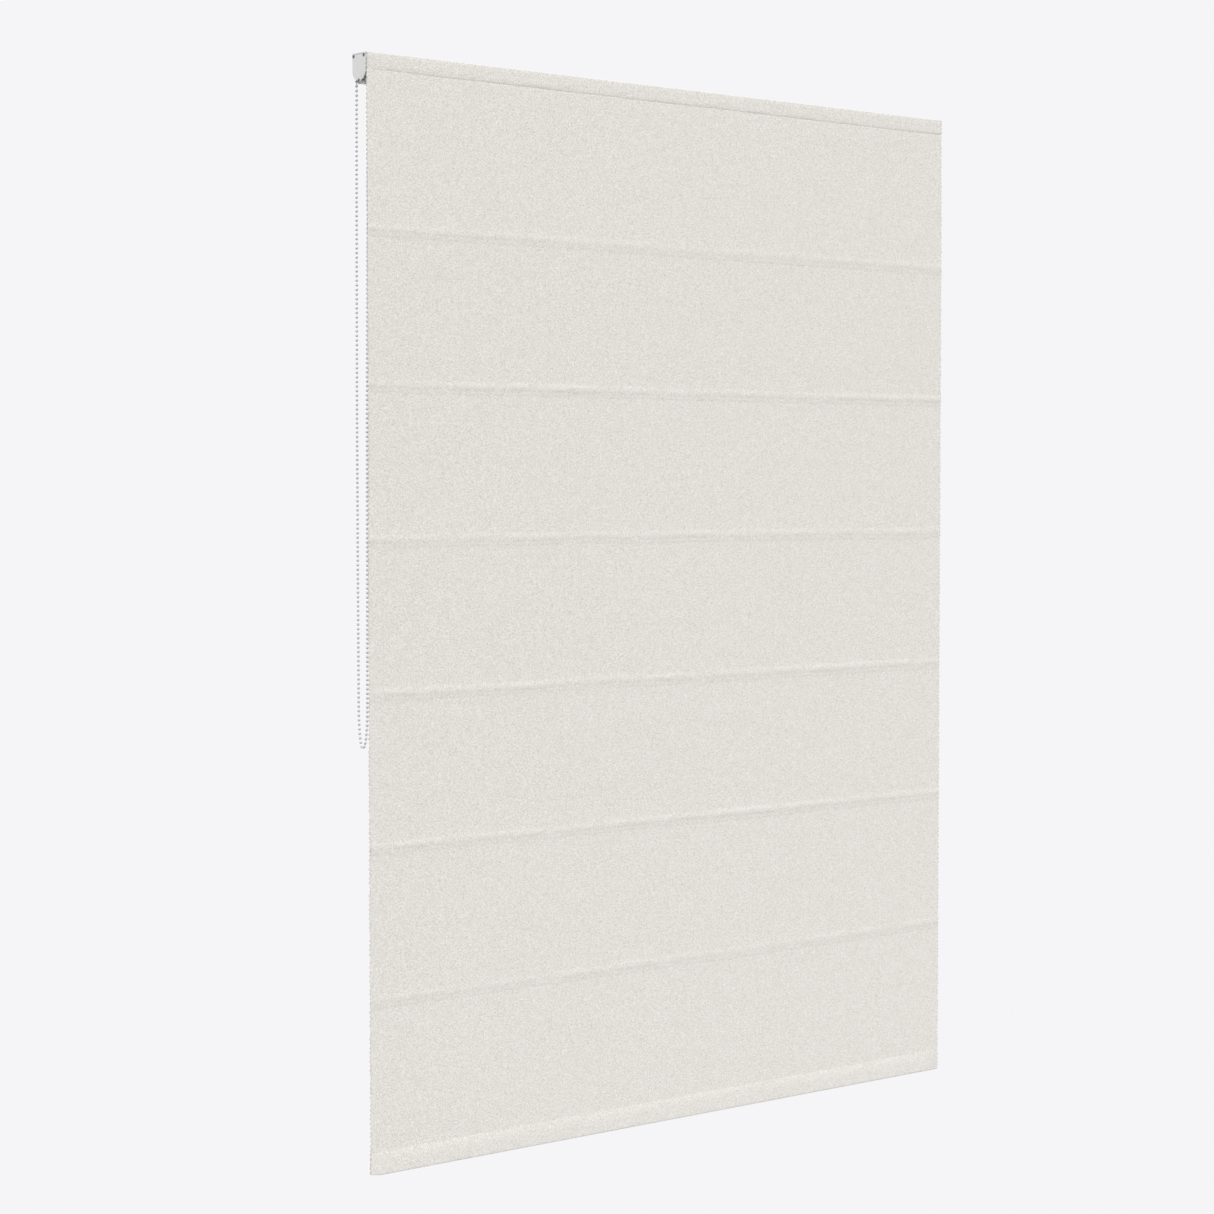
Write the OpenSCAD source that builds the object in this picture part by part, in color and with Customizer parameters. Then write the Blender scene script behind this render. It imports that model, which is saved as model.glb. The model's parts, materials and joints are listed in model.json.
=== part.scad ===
// Roman blind with a chain control: fabric, head rail, lift gear and bead chain.
// Millimetres. X runs along the rail, -Y faces the room and Z is up.
// The origin is the middle of the wall fixing holes, on the wall.

/* [Fabric] */
// width of the fabric
fabric_w = 1083; // [800:1:1600]
// from the top of the rail to the bottom of the hem
drop = 1470; // [1300:1:2000]
// thickness of the cloth
fabric_t = 1; // [0.8:0.1:1.4]
// from the top to the first fold
first_fold = 227; // [180:1:300]
// from the last fold to the bottom of the hem
last_panel = 231; // [180:1:300]
// height of the hem
hem_h = 33; // [30:1:45]
// how far a fold ridge stands out
ridge_h = 1.2; // [0.8:0.1:1.6]
// how far the cloth bows out between two folds
bow_h = 1.5; // [0:0.1:4]

/* [Rods and bar] */
// from the fabric's edge to the bar in the hem
bar_inset = 15; // [8:1:30]
// diameter of a stiffening rod
rod_d = 3.6; // [3:0.1:4]
// from the fabric's edge to the end of a rod
rod_inset = 12; // [10:1:30]
// from the fabric's edge to the outer lift cords
cord_inset = 150; // [110:1:250]
// diameter of a lift cord
cord_d = 1.4; // [1:0.1:1.6]

/* [Head rail] */
// depth of the rail
rail_d = 28.5; // [27:0.5:32]
// height of the rail
rail_h = 38.2; // [38:0.1:46]
// height of the hook and loop tapes
tape_h = 20; // [16:1:24]
// core radius of a cord spool
core_r = 5.5; // [5:0.1:6]

/* [Control] */
// pockets round the chain wheel
wheel_beads = 13; // [11:1:13]
// beads in the chain
chain_n = 303; // [260:1:360]
// distance from bead to bead
bead_pitch = 6; // [5.8:0.1:6]
// diameter of a bead
bead_d = 3.7; // [3.4:0.1:4.5]
// diameter of a cover screw's head
screw_head_d = 4; // [3.6:0.1:4.2]

/* [Fixing] */
// from the fabric's edge to the middle of a bracket
bracket_inset = 91.5; // [60:0.5:250]
// distance between the two wall holes of a bracket
hole_span = 16; // [12:1:20]
// diameter of a fixing hole
hole_d = 4.6; // [4:0.1:5]

/* [Hidden] */
$fn = 48;

// heights: the wall holes are centred on Z 0
z_top = 18;
z_low = z_top - rail_h;
z_axis = z_top - rail_h / 2;

// depths: bracket, screw room, rail, loop tape, cloth
steel = 1.6;
y_back = -5;
y_front = y_back - rail_d;
y_axis = y_back - rail_d / 2;
tape_t = 1;
hook_t = 0.8;
y_cloth = y_front - tape_t;
y_face = y_cloth - fabric_t;

// rail section
wall = 1.6;
front_t = 2;
slot_w = 12;
slot_d = 2.6;
roof = 2 * wall + slot_d;
open_w = 16;

// positions along the rail, counted from the fabric's left edge
function along(u) = u - fabric_w / 2;
u_cover = -0.5;
cover_t = 1.2;
u_chain = 4.8;
u_flange = 7.8;
u_rail = 10.3;
u_tape = 1;
u_body = 40;
rail_l = fabric_w - u_rail - 2.5;

// lift
hex_r = 2.887;
run = 0.08;
y_cord = y_axis - core_r - cord_d / 2 - 0.05;
spool_l = 46;
flange_r = 9.5;
journal_r = 4.4;
cord_x = [cord_inset - fabric_w / 2, 0, fabric_w / 2 - cord_inset];

// brackets stand the same distance from both edges
bracket_x = fabric_w / 2 - bracket_inset;
bracket_w = 30;
bracket_h = 36;
cradle_l = 62;
cradle_foot = 40;

// folds, ridges and the bar in the hem
fold_pitch = (drop - first_fold - last_panel) / 5;
function fold(i) = first_fold + (i - 1) * fold_pitch;
ridge_w = 8;
bar_t = 5;
bar_h = hem_h - 8.6;
bar_y = y_face + 1.3;
bar_z = z_top - drop + bar_h / 2 + 0.8;
bar_wall = 1.2;
bar_l = fabric_w - 2 * bar_inset;
rod_y = y_cloth - ridge_h + 0.12 + rod_d / 2;

// tape sewn over a rod: half width, thickness, and the half widths and depth of its pocket
strip_h = 13;
strip_t = 0.4;
foot_h = 7.5;
crown_h = 2.4;
pocket_d = 3;
hat_y = y_cloth + pocket_d;

// the chain's loop below the wheel, down its two strands: how far the rear and the front
// strand are behind the wheel's axis, and the height above the loop's lowest point
wheel_r = wheel_beads * bead_pitch / (2 * PI);
rim_r = wheel_r - 0.1;
rim_w = 5;
string_d = 1.5;
hang = [
    [13.5, -11.3, 700], [14.3, -8.3, 450], [13.6, -7.5, 200], [13, -6.8, 90], [12.9, -6.6, 55],
    [12.2, -5.9, 34], [10.6, -4.2, 18], [8.8, -2.2, 8], [6.5, 0.4, 2]
];
steps = [1, 1, 1, 2, 3, 4, 4, 4, 4];
hang_n = len(hang);
loop = concat(
    [for (p = hang) [p[0], p[2]]],
    [[3.4, 0]],
    [for (i = [hang_n - 1:-1:0]) [hang[i][1], hang[i][2]]]
);
function at(i) = loop[max(0, min(len(loop) - 1, i))];
function blend(a, b, c, d, t) =
    0.5 * (2 * b + (c - a) * t + (2 * a - 5 * b + 4 * c - d) * t * t
    + (3 * b - a - 3 * c + d) * t * t * t);
function step_n(i) = i < hang_n ? steps[i] : steps[2 * hang_n - 1 - i];
low = concat(
    [for (i = [0:2 * hang_n - 1]) for (k = [0:step_n(i) - 1])
        blend(at(i - 1), at(i), at(i + 1), at(i + 2), k / step_n(i))],
    [at(2 * hang_n)]
);
function length_to(p, n) = n == 0 ? 0 : length_to(p, n - 1) + norm(p[n] - p[n - 1]);
low_l = length_to(low, len(low) - 1);
// the beads left over make the two straight stretches between the wheel and the loop
chain_l = chain_n * bead_pitch;
straight = chain_l - PI * wheel_r - low_l;
lean = [wheel_r - hang[0][0], wheel_r + hang[0][1]];
straight_h = (straight - (pow(lean[0], 2) + pow(lean[1], 2)) / straight) / 2;
hang_h = hang[0][2] + straight_h;
rear_l = wheel_r * PI / 2 + norm([straight_h, lean[0]]);
// angles on the wheel: two steps from pocket to pocket, and the point where the strand leaves
arc = concat([for (i = [0:floor(wheel_beads / 2)]) i * 180 / wheel_beads], [90]);
// rows of distance along the chain, offset to the rear and height from the wheel's axis
route = concat(
    [for (a = arc) [wheel_r * a * PI / 180, wheel_r * sin(a), wheel_r * cos(a)]],
    [for (i = [0:len(low) - 1])
        [rear_l + length_to(low, i), low[i][0], low[i][1] - hang_h]],
    [for (i = [len(arc) - 1:-1:1])
        [chain_l - wheel_r * arc[i] * PI / 180, -wheel_r * sin(arc[i]), wheel_r * cos(arc[i])]]
);
closed = concat(route, [[chain_l, 0, wheel_r]]);
rear_at = [for (p = closed) [p[0], p[1]]];
high_at = [for (p = closed) [p[0], p[2]]];

// screws of the cover: offset to the rear and depth below the top
screws = [[rail_d / 2 - 2.85, 3.9], [2.85 - rail_d / 2, 3.9], [0, rail_h - 2.4]];

module along_x(u, l) {
    translate([along(u), 0, 0])
        rotate([90, 0, 90])
            linear_extrude(l)
                children();
}

module bar_x(u, l, r, y = y_axis, z = z_axis) {
    translate([along(u), y, z])
        rotate([0, 90, 0])
            cylinder(r = r, h = l);
}

module hex_x(u, l, r) {
    translate([along(u), y_axis, z_axis])
        rotate([0, 90, 0])
            cylinder(r = r, h = l, $fn = 6);
}

module block(u, l, y0, y1, z0, z1) {
    translate([along(u), y0, z0])
        cube([l, y1 - y0, z1 - z0]);
}

module stadium(t, h) {
    square([t, h - t], center = true);
    for (s = [-1, 1])
        translate([0, s * (h - t) / 2])
            circle(d = t);
}

module rail_section() {
    difference() {
        translate([y_front, z_low])
            square([rail_d, rail_h]);
        translate([y_axis - slot_w / 2, z_top - wall])
            square([slot_w, wall + 1]);
        translate([y_axis - slot_w / 2 - 3, z_top - wall - slot_d])
            square([slot_w + 6, slot_d]);
        translate([y_front + front_t, z_low + wall])
            square([rail_d - front_t - wall, rail_h - wall - roof]);
        translate([y_axis - open_w / 2, z_low - 1])
            square([open_w, wall + 2]);
        translate([y_front - 1, z_top - 1 - tape_h])
            square([1 + hook_t, tape_h]);
    }
}

module head_rail() {
    color("silver")
        along_x(u_rail, rail_l)
            rail_section();
}

module hook_tape() {
    color("white")
        block(u_rail, rail_l, y_front, y_front + hook_t, z_top - 1 - tape_h, z_top - 1);
}

module loop_tape() {
    color("white")
        block(u_tape, fabric_w - 2 * u_tape, y_cloth, y_front, z_top - 1 - tape_h, z_top - 1);
}

module bracket(x) {
    u = x + fabric_w / 2 - bracket_w / 2;
    y_lip = y_axis - slot_w / 2 + 0.4;
    y_rear = y_axis + slot_w / 2 - 0.4;
    color("gainsboro")
        difference() {
            union() {
                block(u, bracket_w, y_lip, 0, z_top, z_top + steel);
                block(u, bracket_w, -steel, 0, z_top - bracket_h, z_top + steel);
                block(u, bracket_w, y_lip, y_lip + 1.4, z_top - 3.4, z_top);
                block(u, bracket_w, y_lip - 2, y_lip + 1.4, z_top - 3.4, z_top - 1.8);
                block(u, bracket_w, y_rear - 1.4, y_rear, z_top - 3.4, z_top);
                block(u, bracket_w, y_rear - 1.4, y_rear + 2, z_top - 3.4, z_top - 1.8);
            }
            for (s = [-1, 1])
                translate([x, 1, s * hole_span / 2])
                    rotate([90, 0, 0])
                        cylinder(d = hole_d, h = steel + 2);
            translate([x, y_axis, z_top - 1])
                cylinder(d = hole_d, h = steel + 2);
        }
}

module plug(u, l) {
    block(u, l, y_front + front_t + 0.15, y_back - wall - 0.15,
        z_low + wall + 0.1, z_top - roof - 0.1);
}

module end_cap() {
    color("lightgray")
        difference() {
            union() {
                block(fabric_w - 2.5, 2, y_front, y_back, z_low, z_top);
                plug(fabric_w - 13.5, 11.5);
            }
            bar_x(fabric_w - 14, 11.1, 5 + run);
        }
}

module control_housing() {
    color("lightgray")
        union() {
            difference() {
                union() {
                    block(u_flange, u_rail - u_flange, y_front, y_back, z_low, z_top);
                    block(u_cover + cover_t, u_flange - u_cover - cover_t + 0.5,
                        y_front, y_back, z_top - 1.6, z_top);
                    for (p = screws)
                        bar_x(u_cover + cover_t, u_flange - u_cover - cover_t + 0.5, 2.1,
                            y_axis + p[0], z_top - p[1]);
                    plug(u_rail - 0.5, u_body - u_rail + 0.5);
                }
                bar_x(u_flange - 1, 4, 8.6 + run);
                bar_x(u_rail, u_body - u_rail - 2, 9.2);
                bar_x(u_body - 3, 4, 4.3);
                for (p = screws)
                    bar_x(u_cover, 7.5, 1.2, y_axis + p[0], z_top - p[1]);
            }
            difference() {
                bar_x(12, u_body - 13, 5.8);
                bar_x(11, u_body - 11, 4.3);
            }
        }
}

// the cover narrows below: half width and depth below the top
taper = [
    [rail_d / 2, 25], [rail_d / 2 - 0.9, 28.4], [rail_d / 2 - 4.6, 33.3], [4.1, rail_h - 2.6]
];

module control_cover() {
    color("lightgray")
        difference() {
            along_x(u_cover, cover_t) {
                translate([y_front, z_top - 26])
                    square([rail_d, 26]);
                polygon(concat(
                    [for (p = taper) [y_axis - p[0], z_top - p[1]]],
                    [for (i = [len(taper) - 1:-1:0]) [y_axis + taper[i][0], z_top - taper[i][1]]]
                ));
                translate([y_axis, z_low + 4.2])
                    circle(r = 4.2);
            }
            for (p = screws) {
                bar_x(u_cover - 1, 1.5, screw_head_d / 2 + 0.1, y_axis + p[0], z_top - p[1]);
                bar_x(u_cover, cover_t + 1, 1.3, y_axis + p[0], z_top - p[1]);
            }
        }
}

module cover_screws() {
    color("dimgray")
        for (p = screws)
            difference() {
                union() {
                    bar_x(u_cover - 0.6, 1.1, screw_head_d / 2, y_axis + p[0], z_top - p[1]);
                    bar_x(u_cover + 0.4, 6.4, 1.2, y_axis + p[0], z_top - p[1]);
                }
                block(u_cover - 1, 1, y_axis + p[0] - 0.3, y_axis + p[0] + 0.3,
                    z_top - p[1] - 1.4, z_top - p[1] + 1.4);
                block(u_cover - 1, 1, y_axis + p[0] - 1.4, y_axis + p[0] + 1.4,
                    z_top - p[1] - 0.3, z_top - p[1] + 0.3);
            }
}

module chain_beads() {
    color("darkgray")
        for (k = [0:chain_n - 1])
            translate([
                along(u_chain),
                y_axis + lookup(k * bead_pitch, rear_at),
                z_axis + lookup(k * bead_pitch, high_at)
            ])
                sphere(d = bead_d);
}

module chain_string() {
    n = len(route);
    sides = 8;
    points = [for (i = [0:n - 1])
        let (
            p = route[i],
            q = route[(i + 1) % n] - route[(i + n - 1) % n],
            d = [q[1], q[2]] / norm([q[1], q[2]])
        )
        for (k = [0:sides - 1])
            let (a = 360 * k / sides, s = string_d / 2 * cos(a))
            [
                along(u_chain) + string_d / 2 * sin(a),
                y_axis + p[1] + d[1] * s,
                z_axis + p[2] - d[0] * s
            ]];
    faces = [for (i = [0:n - 1]) for (k = [0:sides - 1])
        let (
            a = i * sides + k,
            b = i * sides + (k + 1) % sides,
            c = (i + 1) % n * sides + (k + 1) % sides,
            d = (i + 1) % n * sides + k
        )
        each [[a, b, c], [a, c, d]]];
    color("white")
        polyhedron(points, faces);
}

module chain_wheel() {
    color("gray")
        difference() {
            union() {
                bar_x(u_chain - rim_w / 2, rim_w, rim_r);
                bar_x(5, 21, 8.6);
            }
            bar_x(0, 27, 7.2);
            for (k = [0:wheel_beads - 1])
                translate([along(u_chain), y_axis, z_axis])
                    rotate([k * 360 / wheel_beads, 0, 0])
                        translate([0, 0, wheel_r])
                            sphere(r = bead_d / 2 + run);
            difference() {
                bar_x(u_chain - 1, 2, 14);
                bar_x(u_chain - 2, 4, wheel_r - string_d / 2 - 0.4);
            }
            block(8.5, 19, y_axis - 4, y_axis + 4, z_axis + 5, z_axis + 10);
        }
}

module drive_core() {
    color("dimgray")
        difference() {
            union() {
                bar_x(u_chain - rim_w / 2, 11.4 - u_chain + rim_w / 2, 7.12);
                bar_x(5, 31, 4.22);
                block(8.8, 16, y_axis - 2, y_axis + 2, z_axis + 7.25, z_axis + 8.2);
                block(8.8, 2.4, y_axis - 2, y_axis + 2, z_axis + 5, z_axis + 8);
            }
            hex_x(13, 24, hex_r + 0.05);
        }
}

module wrap_spring() {
    turns = 8;
    per = 18;
    sides = 5;
    n = turns * per;
    wire = 1.1;
    mid_r = 6.5;
    points = [for (i = [0:n]) for (k = [0:sides - 1])
        let (a = 360 * i / per, b = 360 * k / sides, r = mid_r + wire / 2 * cos(b))
        [
            along(12.6) + 1.25 * i / per + wire / 2 * sin(b),
            y_axis + r * cos(a),
            z_axis + r * sin(a)
        ]];
    tube = [for (i = [0:n - 1]) for (k = [0:sides - 1])
        let (
            a = i * sides + k,
            b = i * sides + (k + 1) % sides,
            c = (i + 1) * sides + (k + 1) % sides,
            d = (i + 1) * sides + k
        )
        each [[a, b, c], [a, c, d]]];
    caps = [
        [for (k = [sides - 1:-1:0]) k],
        [for (k = [0:sides - 1]) n * sides + k]
    ];
    color("silver")
        polyhedron(points, concat(tube, caps));
}

module drive_shaft() {
    color("silver")
        hex_x(13.5, fabric_w - 17, hex_r);
}

module idle_bush() {
    color("white")
        difference() {
            bar_x(fabric_w - 13, 9.8, 5);
            hex_x(fabric_w - 14, 12, hex_r + 0.05);
        }
}

module spool(x) {
    u = x + fabric_w / 2;
    color("white")
        difference() {
            union() {
                bar_x(u - spool_l / 2 - 6.4, spool_l + 12.8, journal_r);
                bar_x(u - spool_l / 2 - 1.4, spool_l + 2.8, core_r);
                bar_x(u - spool_l / 2 - 1.4, 1.4, flange_r);
                bar_x(u + spool_l / 2, 1.4, flange_r);
            }
            hex_x(u - spool_l, 2 * spool_l, hex_r + 0.05);
        }
}

module cradle(x) {
    u = x + fabric_w / 2;
    z_base = z_low + wall;
    side = spool_l / 2 + 2;
    color("gainsboro")
        difference() {
            union() {
                block(u - cradle_l / 2, cradle_l, y_front + front_t + 0.2, y_back - wall - 0.2,
                    z_base, z_base + 2);
                block(u - cradle_foot / 2, cradle_foot,
                    y_axis - open_w / 2 + 0.15, y_axis + open_w / 2 - 0.15, z_low, z_base + 1);
                for (s = [-1, 1])
                    block(u + s * (side + 1.5) - 1.5, 3, y_axis - 9, y_axis + 9,
                        z_base + 1, z_axis + 8);
            }
            bar_x(u - cradle_l, 2 * cradle_l, journal_r + run);
            block(u - cradle_l, 2 * cradle_l, y_axis - 3.7, y_axis + 3.7, z_axis, z_axis + 12);
            translate([x, y_cord, z_low - 1])
                cylinder(r = 1.2, h = 8);
        }
}

module lift_cord(x) {
    u = x + fabric_w / 2;
    color("white")
        union() {
            translate([x, y_cord, z_top - drop + 15])
                cylinder(d = cord_d, h = z_axis - z_top + drop - 15);
            difference() {
                bar_x(u - 5, 6, core_r + cord_d + 0.1);
                bar_x(u - 6, 8, core_r + 0.1);
            }
        }
}

// how far the cloth stands out from its plane at a depth below the top
function ridge(x) = abs(x) >= ridge_w ? 0
    : ridge_h * (exp(-pow(x / (0.52 * ridge_w), 2)) - exp(-pow(1 / 0.52, 2)));
function rise(u) = u <= 0 || u >= 1 ? 0 : bow_h * pow(sin(180 * u), 2);
function edge(i) = i == 0 ? tape_h - 6 : i == 7 ? drop - hem_h + 10 : fold(i);
ridge_at = [-8, -6.5, -5, -3.7, -2.5, -1.2, 0, 1.2, 2.5, 3.7, 5, 6.5, 8];
function crest(i) = [for (x = ridge_at) [fold(i) + x, ridge(x)]];
function panel(i) = [for (u = [0:0.1:1])
    let (a = edge(i) + 15, b = edge(i + 1) - 15) [a + (b - a) * u, rise(u)]];
body = concat([for (i = [0:5]) each concat(panel(i), crest(i + 1))], panel(6));

// the turned top is thicker and ends in a crease; both lists are depth and stand-out
turn_t = 0.8;
top_r = (fabric_t + turn_t) / 2;
crease = tape_h + 0.9;
head = [
    [top_r, turn_t], [tape_h - 1.5, turn_t], [tape_h, 0.35],
    [crease, -0.25], [crease + 1.6, -0.1]
];
rim = [for (a = [30:30:150])
    [y_cloth - top_r + top_r * cos(a), z_top - top_r + top_r * sin(a)]];
// round the hem from its stitches in front to those behind: height above the bottom, stand-out
hem = [
    [33, -0.25], [31.5, -0.1], [29, 0.9], [26, 1.9], [23, 2.4], [9, 2.4], [5, 2.1], [2, 1.2],
    [0.5, 0], [0, -1.3], [0.5, -2.6], [2, -3.8], [5, -4.7], [9, -5], [23, -5], [26, -4.5],
    [29, -3.1], [31.5, -1.7], [33, -1.2], [36, -1]
];
function hem_up(e) = e > 9 ? e + hem_h - 33 : e;
function place(p, back) = [y_face - p[1] + back, z_top - p[0]];

module cloth_section() {
    difference() {
        polygon(concat(
            rim,
            [for (p = head) place(p, 0)],
            [for (p = body) place(p, 0)],
            [for (p = hem) place([drop - hem_up(p[0]), p[1]], 0)],
            [for (i = [len(body) - 1:-1:0]) place(body[i], fabric_t)],
            [[y_cloth, z_top - top_r]]
        ));
        translate([bar_y, bar_z])
            stadium(bar_t + 0.4, bar_h + 0.4);
    }
}

module fabric() {
    color("linen")
        difference() {
            along_x(0, fabric_w)
                cloth_section();
            for (x = cord_x)
                translate([x, y_face + 6, bar_z])
                    rotate([90, 0, 0])
                        cylinder(r = 1.8, h = 2.5);
        }
}

module rod(i) {
    color("whitesmoke")
        bar_x(rod_inset, fabric_w - 2 * rod_inset, rod_d / 2, rod_y, z_top - fold(i));
}

module pocket(i) {
    color("white")
        translate([0, y_cloth, z_top - fold(i)])
            along_x(rod_inset, fabric_w - 2 * rod_inset)
                polygon([
                    [0, -strip_h], [strip_t, -strip_h], [strip_t, -foot_h],
                    [pocket_d, -crown_h], [pocket_d, crown_h], [strip_t, foot_h],
                    [strip_t, strip_h], [0, strip_h], [0, foot_h - 0.3],
                    [pocket_d - strip_t, crown_h - 0.2], [pocket_d - strip_t, 0.2 - crown_h],
                    [0, 0.3 - foot_h]
                ]);
}

module rings(i) {
    color("white")
        for (x = cord_x)
            union() {
                translate([x, y_cord, z_top - fold(i)])
                    rotate_extrude()
                        translate([3.5, 0])
                            circle(r = 1);
                translate([x - 1.6, hat_y, z_top - fold(i) - 1.6])
                    cube([3.2, y_cord - hat_y - 3.2, 3.2]);
            }
}

module bottom_bar() {
    color("silver")
        difference() {
            translate([0, bar_y, bar_z])
                along_x(bar_inset, bar_l)
                    difference() {
                        stadium(bar_t, bar_h);
                        stadium(bar_t - 2 * bar_wall, bar_h - 2 * bar_wall);
                    }
            for (x = cord_x)
                translate([x, bar_y + bar_t, bar_z])
                    rotate([90, 0, 0])
                        cylinder(r = 1.52, h = bar_t);
        }
}

module bar_caps() {
    color("white")
        for (s = [0, 1])
            translate([0, bar_y, bar_z]) {
                along_x(bar_inset - 1.5 + s * (bar_l + 1.5), 1.5)
                    stadium(bar_t, bar_h);
                along_x(bar_inset - 0.1 + s * (bar_l - 11), 11.2)
                    stadium(bar_t - 2 * bar_wall - 0.1, bar_h - 2 * bar_wall - 0.1);
            }
}

module cord_anchors() {
    y_hem = y_face + 5;
    color("white")
        for (x = cord_x)
            difference() {
                union() {
                    translate([x - 6, y_hem, z_top - drop + 9])
                        cube([12, y_cord + 3.5 - y_hem, 16]);
                    translate([x, y_hem + 1, bar_z])
                        rotate([90, 0, 0])
                            cylinder(r = 1.5, h = 3.4);
                }
                translate([x, y_cord, z_top - drop + 15])
                    cylinder(d = cord_d + 0.2, h = 20);
            }
}

head_rail();
hook_tape();
loop_tape();
bracket(-bracket_x);  // bracket_left
bracket(bracket_x);  // bracket_right
end_cap();
control_housing();
control_cover();
cover_screws();
chain_beads();
chain_string();
cradle(cord_x[0]);  // cradle_left
cradle(cord_x[1]);  // cradle_mid
cradle(cord_x[2]);  // cradle_right
lift_cord(cord_x[0]);  // cord_left
lift_cord(cord_x[1]);  // cord_mid
lift_cord(cord_x[2]);  // cord_right
fabric();
drive_shaft();
chain_wheel();
drive_core();
wrap_spring();
spool(cord_x[0]);  // spool_left
spool(cord_x[1]);  // spool_mid
spool(cord_x[2]);  // spool_right
idle_bush();
rod(1);  // rod_1
rod(2);  // rod_2
rod(3);  // rod_3
rod(4);  // rod_4
rod(5);  // rod_5
rod(6);  // rod_6
pocket(1);  // pocket_1
pocket(2);  // pocket_2
pocket(3);  // pocket_3
pocket(4);  // pocket_4
pocket(5);  // pocket_5
pocket(6);  // pocket_6
rings(1);  // rings_1
rings(2);  // rings_2
rings(3);  // rings_3
rings(4);  // rings_4
rings(5);  // rings_5
rings(6);  // rings_6
bottom_bar();
bar_caps();
cord_anchors();
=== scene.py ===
# %% [markdown]
# # A roman blind on a chain
# This lesson dresses a imported model of a roman blind. The model brings the hard pieces at their
# real places: rail, brackets, gear, rods and rings. Here the cloth, tapes, cords and chain are made
# as soft goods, and every surface gets its finish. The first cell loads the model. What is made
# later has to stay within a few millimetres of it.

# %% Load the frame
import json
import math

import bmesh
import bpy
import numpy as np
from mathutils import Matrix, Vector


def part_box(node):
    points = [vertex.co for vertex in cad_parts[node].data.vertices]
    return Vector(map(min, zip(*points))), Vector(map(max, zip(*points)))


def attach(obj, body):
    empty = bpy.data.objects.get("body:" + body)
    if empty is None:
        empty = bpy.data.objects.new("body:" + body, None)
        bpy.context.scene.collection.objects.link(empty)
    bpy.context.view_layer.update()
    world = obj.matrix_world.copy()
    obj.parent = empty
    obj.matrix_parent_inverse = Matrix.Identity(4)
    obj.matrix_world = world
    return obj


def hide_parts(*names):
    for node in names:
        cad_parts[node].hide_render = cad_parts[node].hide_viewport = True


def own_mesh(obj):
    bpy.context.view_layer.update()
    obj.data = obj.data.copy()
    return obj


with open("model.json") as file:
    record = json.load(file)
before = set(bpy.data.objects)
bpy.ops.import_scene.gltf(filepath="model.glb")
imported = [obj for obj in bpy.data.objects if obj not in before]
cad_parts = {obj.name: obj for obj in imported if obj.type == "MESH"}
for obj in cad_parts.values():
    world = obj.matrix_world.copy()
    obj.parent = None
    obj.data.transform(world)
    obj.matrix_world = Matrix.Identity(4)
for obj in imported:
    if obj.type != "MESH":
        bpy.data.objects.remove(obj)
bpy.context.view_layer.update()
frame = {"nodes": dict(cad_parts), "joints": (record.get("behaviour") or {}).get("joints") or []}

nodes = frame["nodes"]

# %% [markdown]
# ## The camera
# The photograph is a square picture taken from the left, a little above the middle of the
# blind. Its lens was found from the four corners of the cloth, which are the corners of a
# rectangle: only one lens and one place of the camera draw that rectangle there.

# %% Camera
PHOTO_PX = 1214
FOCAL_PX = 2853.9
TURN_RIGHT = math.radians(40.291)
LOOK_DOWN = math.radians(2.411)
CAMERA_AT = (-2.7090, -3.0737, -0.5452)
SENSOR_MM = 36

camera_data = bpy.data.cameras.new("camera")
camera_data.sensor_width = SENSOR_MM
camera_data.lens = FOCAL_PX / PHOTO_PX * SENSOR_MM
camera = bpy.data.objects.new("camera", camera_data)
camera.location = CAMERA_AT
camera.rotation_euler = (math.pi / 2 - LOOK_DOWN, 0, -TURN_RIGHT)
bpy.context.scene.collection.objects.link(camera)
bpy.context.scene.camera = camera
print("camera lens", round(camera_data.lens, 1), "mm")

# %% [markdown]
# ## Making a piece
# Shapes are worked out in millimetres, as a workshop drawing would give them, and turned to
# metres when the mesh is made. Two shapes cover everything here. A **tube** is a closed outline
# carried along a line: cords, beads, stitches, pocket tapes and the head band. A **shell** is a
# front and a back of the same grid, closed round its rim: panel, hem and strips. Both are quads,
# with one larger face at each end of a tube.

# %% Measures and shapes
MM = 0.001


def box_mm(node):
    low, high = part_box(node)
    return np.array(low) / MM, np.array(high) / MM


def middle(node):
    low, high = box_mm(node)
    return (low + high) / 2


def tube(rings):
    """Quads round a row of rings, closed at both ends; rings has the shape (rings, points, 3)."""
    count, around = rings.shape[:2]
    index = np.arange(count * around).reshape(count, around)
    after = np.roll(index, -1, axis=1)
    quads = np.stack([index[:-1], after[:-1], after[1:], index[1:]], -1).reshape(-1, 4).tolist()
    quads += [index[0, ::-1].tolist(), index[-1].tolist()]
    return rings.reshape(-1, 3), quads


def shell(front, back):
    """A closed sheet: two grids of the same shape (rows, columns, 3), joined round the rim."""
    rows, columns = front.shape[:2]
    a = np.arange(rows * columns).reshape(rows, columns)
    b = a + rows * columns
    quads = [np.stack([a[:-1, :-1], a[1:, :-1], a[1:, 1:], a[:-1, 1:]], -1)]
    quads += [np.stack([b[:-1, :-1], b[:-1, 1:], b[1:, 1:], b[1:, :-1]], -1)]
    rim_a = np.concatenate([a[0], a[1:, -1], a[-1, -2::-1], a[-2:0:-1, 0]])
    rim_b = rim_a + rows * columns
    quads += [np.stack([rim_a, np.roll(rim_a, -1), np.roll(rim_b, -1), rim_b], -1)]
    faces = np.concatenate([q.reshape(-1, 4) for q in quads]).tolist()
    return np.concatenate([front.reshape(-1, 3), back.reshape(-1, 3)]), faces


def joined(shapes):
    """Several shapes of points and faces as one."""
    points, faces, start = [], [], 0
    for p, f in shapes:
        points.append(p)
        faces += [[i + start for i in face] for face in f]
        start += len(p)
    return np.concatenate(points), faces


print("the rail measures", np.round(np.ptp(box_mm("head_rail"), axis=0)), "mm")
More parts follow.
